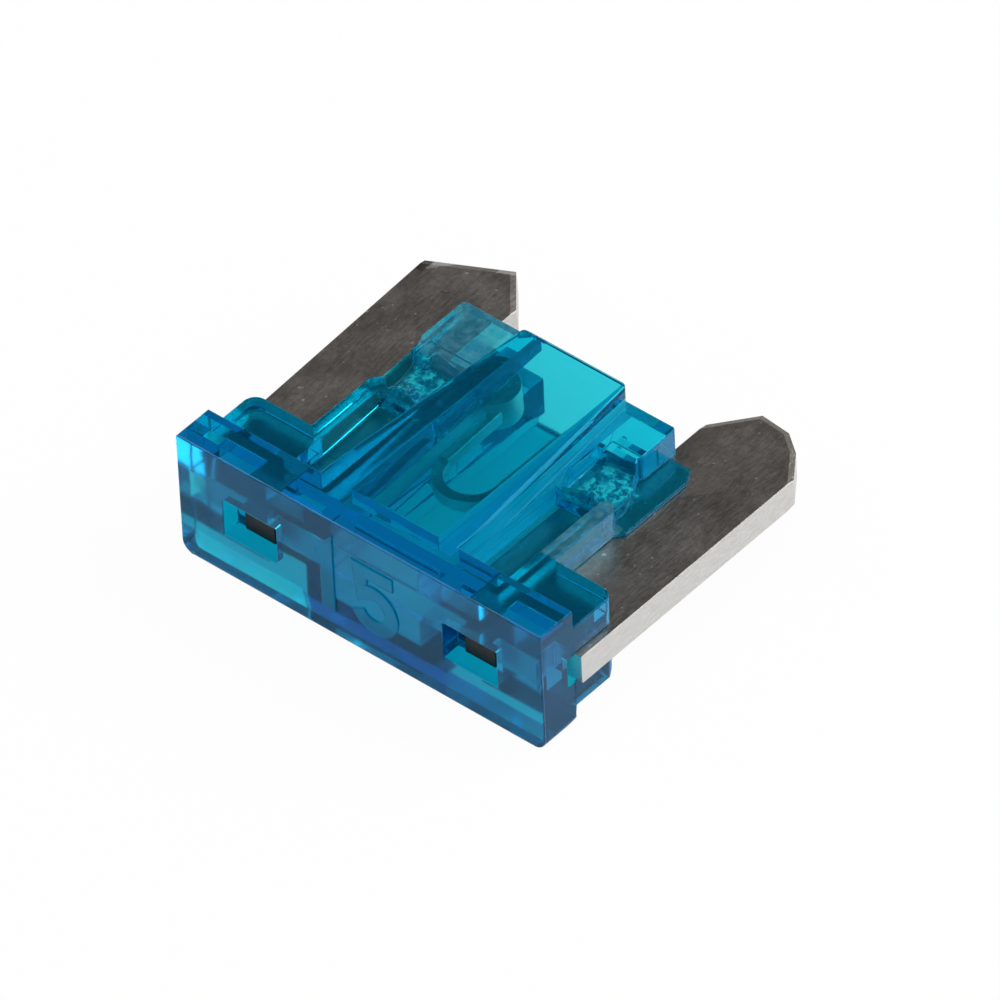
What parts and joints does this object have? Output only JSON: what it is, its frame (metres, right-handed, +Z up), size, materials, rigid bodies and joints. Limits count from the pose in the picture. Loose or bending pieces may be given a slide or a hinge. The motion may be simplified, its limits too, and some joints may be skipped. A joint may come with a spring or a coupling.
{
  "type": "automotive blade fuse",
  "caption": "Low-profile automotive blade fuse: clear blue moulded housing over a stamped metal element with flat contact blades and a bent fusible link.",
  "frame": {"origin": "under the middle of the whole part, on the surface that it lies on", "axes": "+X across the two blades, +Y from the head to the blade tips, +Z up through the thickness"},
  "size_m": [0.0112, 0.01, 0.0035],
  "materials": {
    "clear_blue_plastic": "clear moulded nylon tinted blue, glossy, with frosted crushed marks where it was staked",
    "zinc_alloy": "dull tin-plated zinc strip, light grey on sheared edges, with small scratches"
  },
  "bodies": {
    "root": {"housing": "clear_blue_plastic", "fuse_element": "zinc_alloy"}
  },
  "joints": []
}
